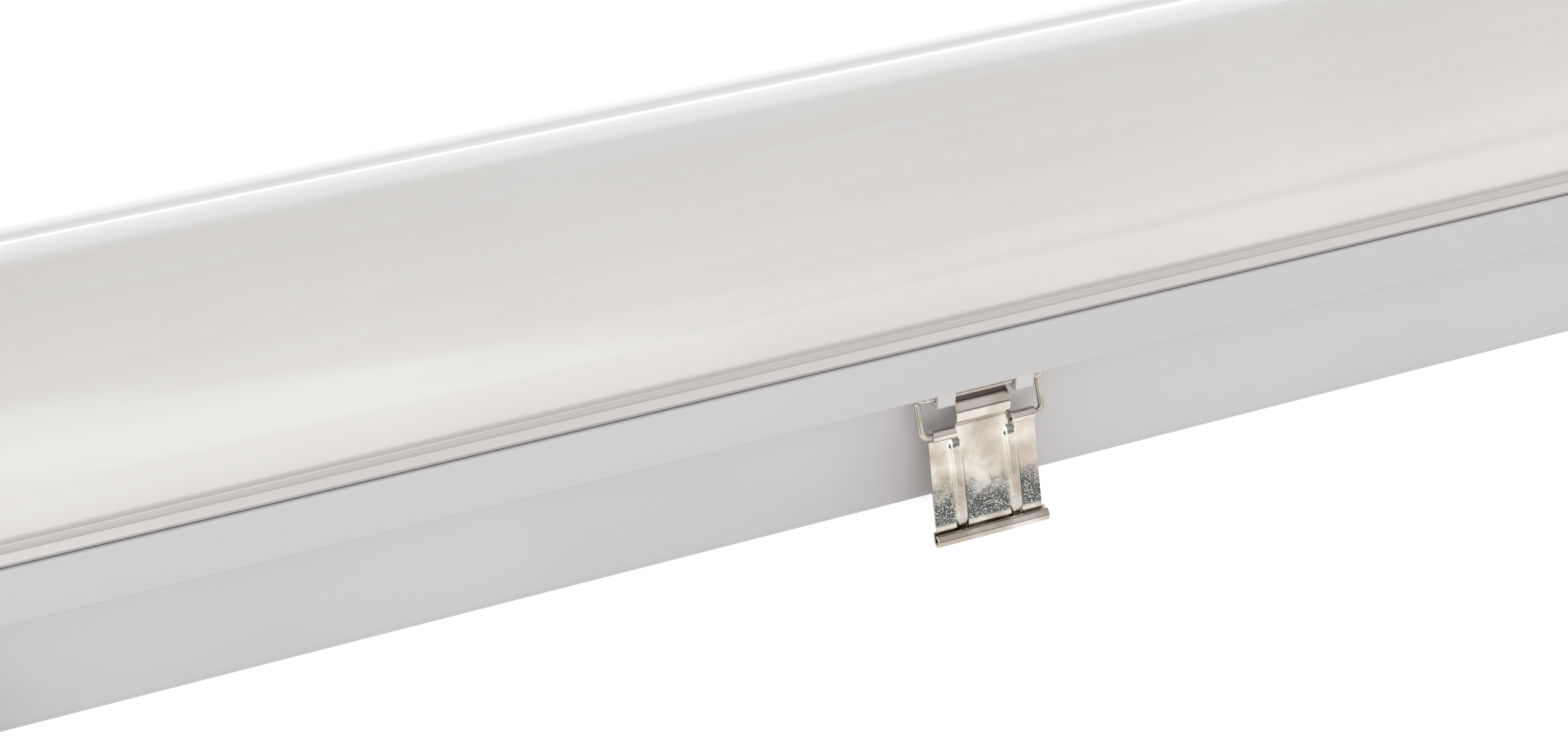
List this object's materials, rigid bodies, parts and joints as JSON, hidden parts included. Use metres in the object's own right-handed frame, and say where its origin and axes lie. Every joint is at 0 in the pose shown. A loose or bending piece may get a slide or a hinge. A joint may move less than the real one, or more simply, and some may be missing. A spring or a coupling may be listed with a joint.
{
  "type": "vapor tight light fixture",
  "caption": "Long sealed light fixture with a frosted domed diffuser, a grey housing with a gasketed rim, stainless draw latches along both sides and a cable gland.",
  "frame": {"origin": "middle of the housing's flat back, halfway between the two fixing holes", "axes": "+X along the fixture towards the cable gland, +Z from the back towards the diffuser, -Y towards the side that the picture shows"},
  "size_m": [0.6735, 0.1186, 0.0916],
  "materials": {
    "housing_plastic": "satin",
    "frosted_plastic": "gloss",
    "stainless": "brushed",
    "gasket_foam": "matte",
    "white_steel": "satin",
    "board_white": "satin",
    "led_yellow": "gloss",
    "white_plastic": "satin",
    "gland_plastic": "satin",
    "black_rubber": "matte",
    "zinc_steel": "satin",
    "brass_tag": "satin",
    "supply_sleeve": "gloss",
    "feed_sleeve": "gloss"
  },
  "bodies": {
    "housing": {"base_housing": "housing_plastic", "gasket": "gasket_foam", "gear_tray": "white_steel", "tray_screws": "zinc_steel", "led_board_left": "board_white", "led_board_right": "board_white", "led_packages": "led_yellow", "board_rivets": "white_plastic", "board_connector": "white_plastic", "led_driver": "white_plastic", "driver_screws": "zinc_steel", "terminal_block": "white_plastic", "terminal_screws": "zinc_steel", "earth_screw": "zinc_steel", "earth_tag": "brass_tag", "supply_leads": "supply_sleeve", "board_leads": "feed_sleeve", "tray_grommet": "black_rubber", "gland_body": "gland_plastic", "gland_seal": "black_rubber", "gland_cap": "gland_plastic", "gland_locknut": "gland_plastic", "blanking_plug": "gland_plastic", "plug_ring": "black_rubber", "plug_locknut": "gland_plastic"},
    "cover": {"diffuser": "frosted_plastic"},
    "front_left_bail": {"bail_front_left": "stainless"},
    "front_left_lever": {"lever_front_left": "stainless"},
    "front_middle_bail": {"bail_front_middle": "stainless"},
    "front_middle_lever": {"lever_front_middle": "stainless"},
    "front_right_bail": {"bail_front_right": "stainless"},
    "front_right_lever": {"lever_front_right": "stainless"},
    "rear_left_bail": {"bail_rear_left": "stainless"},
    "rear_left_lever": {"lever_rear_left": "stainless"},
    "rear_middle_bail": {"bail_rear_middle": "stainless"},
    "rear_middle_lever": {"lever_rear_middle": "stainless"},
    "rear_right_bail": {"bail_rear_right": "stainless"},
    "rear_right_lever": {"lever_rear_right": "stainless"}
  },
  "joints": [
    {"name": "cover_lift", "type": "slide", "parent": "housing", "child": "cover", "axis": [0, 0, -1], "range_m": [-0.06, 0]},
    {"name": "front_left_bail_hinge", "type": "hinge", "parent": "housing", "child": "front_left_bail", "pos_m": [-0.248, -0.05025, 0.0365], "axis": [-1, 0, 0], "range_deg": [0, 154.57]},
    {"name": "front_left_lever_hinge", "type": "hinge", "parent": "front_left_bail", "child": "front_left_lever", "pos_m": [-0.248, -0.05102, 0.02673], "axis": [-1, 0, 0], "range_deg": [-170.09, 0]},
    {"name": "front_middle_bail_hinge", "type": "hinge", "parent": "housing", "child": "front_middle_bail", "pos_m": [0, -0.05025, 0.0365], "axis": [-1, 0, 0], "range_deg": [0, 154.57]},
    {"name": "front_middle_lever_hinge", "type": "hinge", "parent": "front_middle_bail", "child": "front_middle_lever", "pos_m": [0, -0.05102, 0.02673], "axis": [-1, 0, 0], "range_deg": [-170.09, 0]},
    {"name": "front_right_bail_hinge", "type": "hinge", "parent": "housing", "child": "front_right_bail", "pos_m": [0.248, -0.05025, 0.0365], "axis": [-1, 0, 0], "range_deg": [0, 154.57]},
    {"name": "front_right_lever_hinge", "type": "hinge", "parent": "front_right_bail", "child": "front_right_lever", "pos_m": [0.248, -0.05102, 0.02673], "axis": [-1, 0, 0], "range_deg": [-170.09, 0]},
    {"name": "rear_left_bail_hinge", "type": "hinge", "parent": "housing", "child": "rear_left_bail", "pos_m": [0.248, 0.05025, 0.0365], "axis": [1, 0, 0], "range_deg": [0, 154.57]},
    {"name": "rear_left_lever_hinge", "type": "hinge", "parent": "rear_left_bail", "child": "rear_left_lever", "pos_m": [0.248, 0.05102, 0.02673], "axis": [1, 0, 0], "range_deg": [-170.09, 0]},
    {"name": "rear_middle_bail_hinge", "type": "hinge", "parent": "housing", "child": "rear_middle_bail", "pos_m": [0, 0.05025, 0.0365], "axis": [1, 0, 0], "range_deg": [0, 154.57]},
    {"name": "rear_middle_lever_hinge", "type": "hinge", "parent": "rear_middle_bail", "child": "rear_middle_lever", "pos_m": [0, 0.05102, 0.02673], "axis": [1, 0, 0], "range_deg": [-170.09, 0]},
    {"name": "rear_right_bail_hinge", "type": "hinge", "parent": "housing", "child": "rear_right_bail", "pos_m": [-0.248, 0.05025, 0.0365], "axis": [1, 0, 0], "range_deg": [0, 154.57]},
    {"name": "rear_right_lever_hinge", "type": "hinge", "parent": "rear_right_bail", "child": "rear_right_lever", "pos_m": [-0.248, 0.05102, 0.02673], "axis": [1, 0, 0], "range_deg": [-170.09, 0]}
  ],
  "couplings": [
    {"joint": "front_left_lever_hinge", "follows": "front_left_bail_hinge", "ratio": -1.1003},
    {"joint": "front_middle_lever_hinge", "follows": "front_middle_bail_hinge", "ratio": -1.1003},
    {"joint": "front_right_lever_hinge", "follows": "front_right_bail_hinge", "ratio": -1.1003},
    {"joint": "rear_left_lever_hinge", "follows": "rear_left_bail_hinge", "ratio": -1.1003},
    {"joint": "rear_middle_lever_hinge", "follows": "rear_middle_bail_hinge", "ratio": -1.1003},
    {"joint": "rear_right_lever_hinge", "follows": "rear_right_bail_hinge", "ratio": -1.1003}
  ]
}
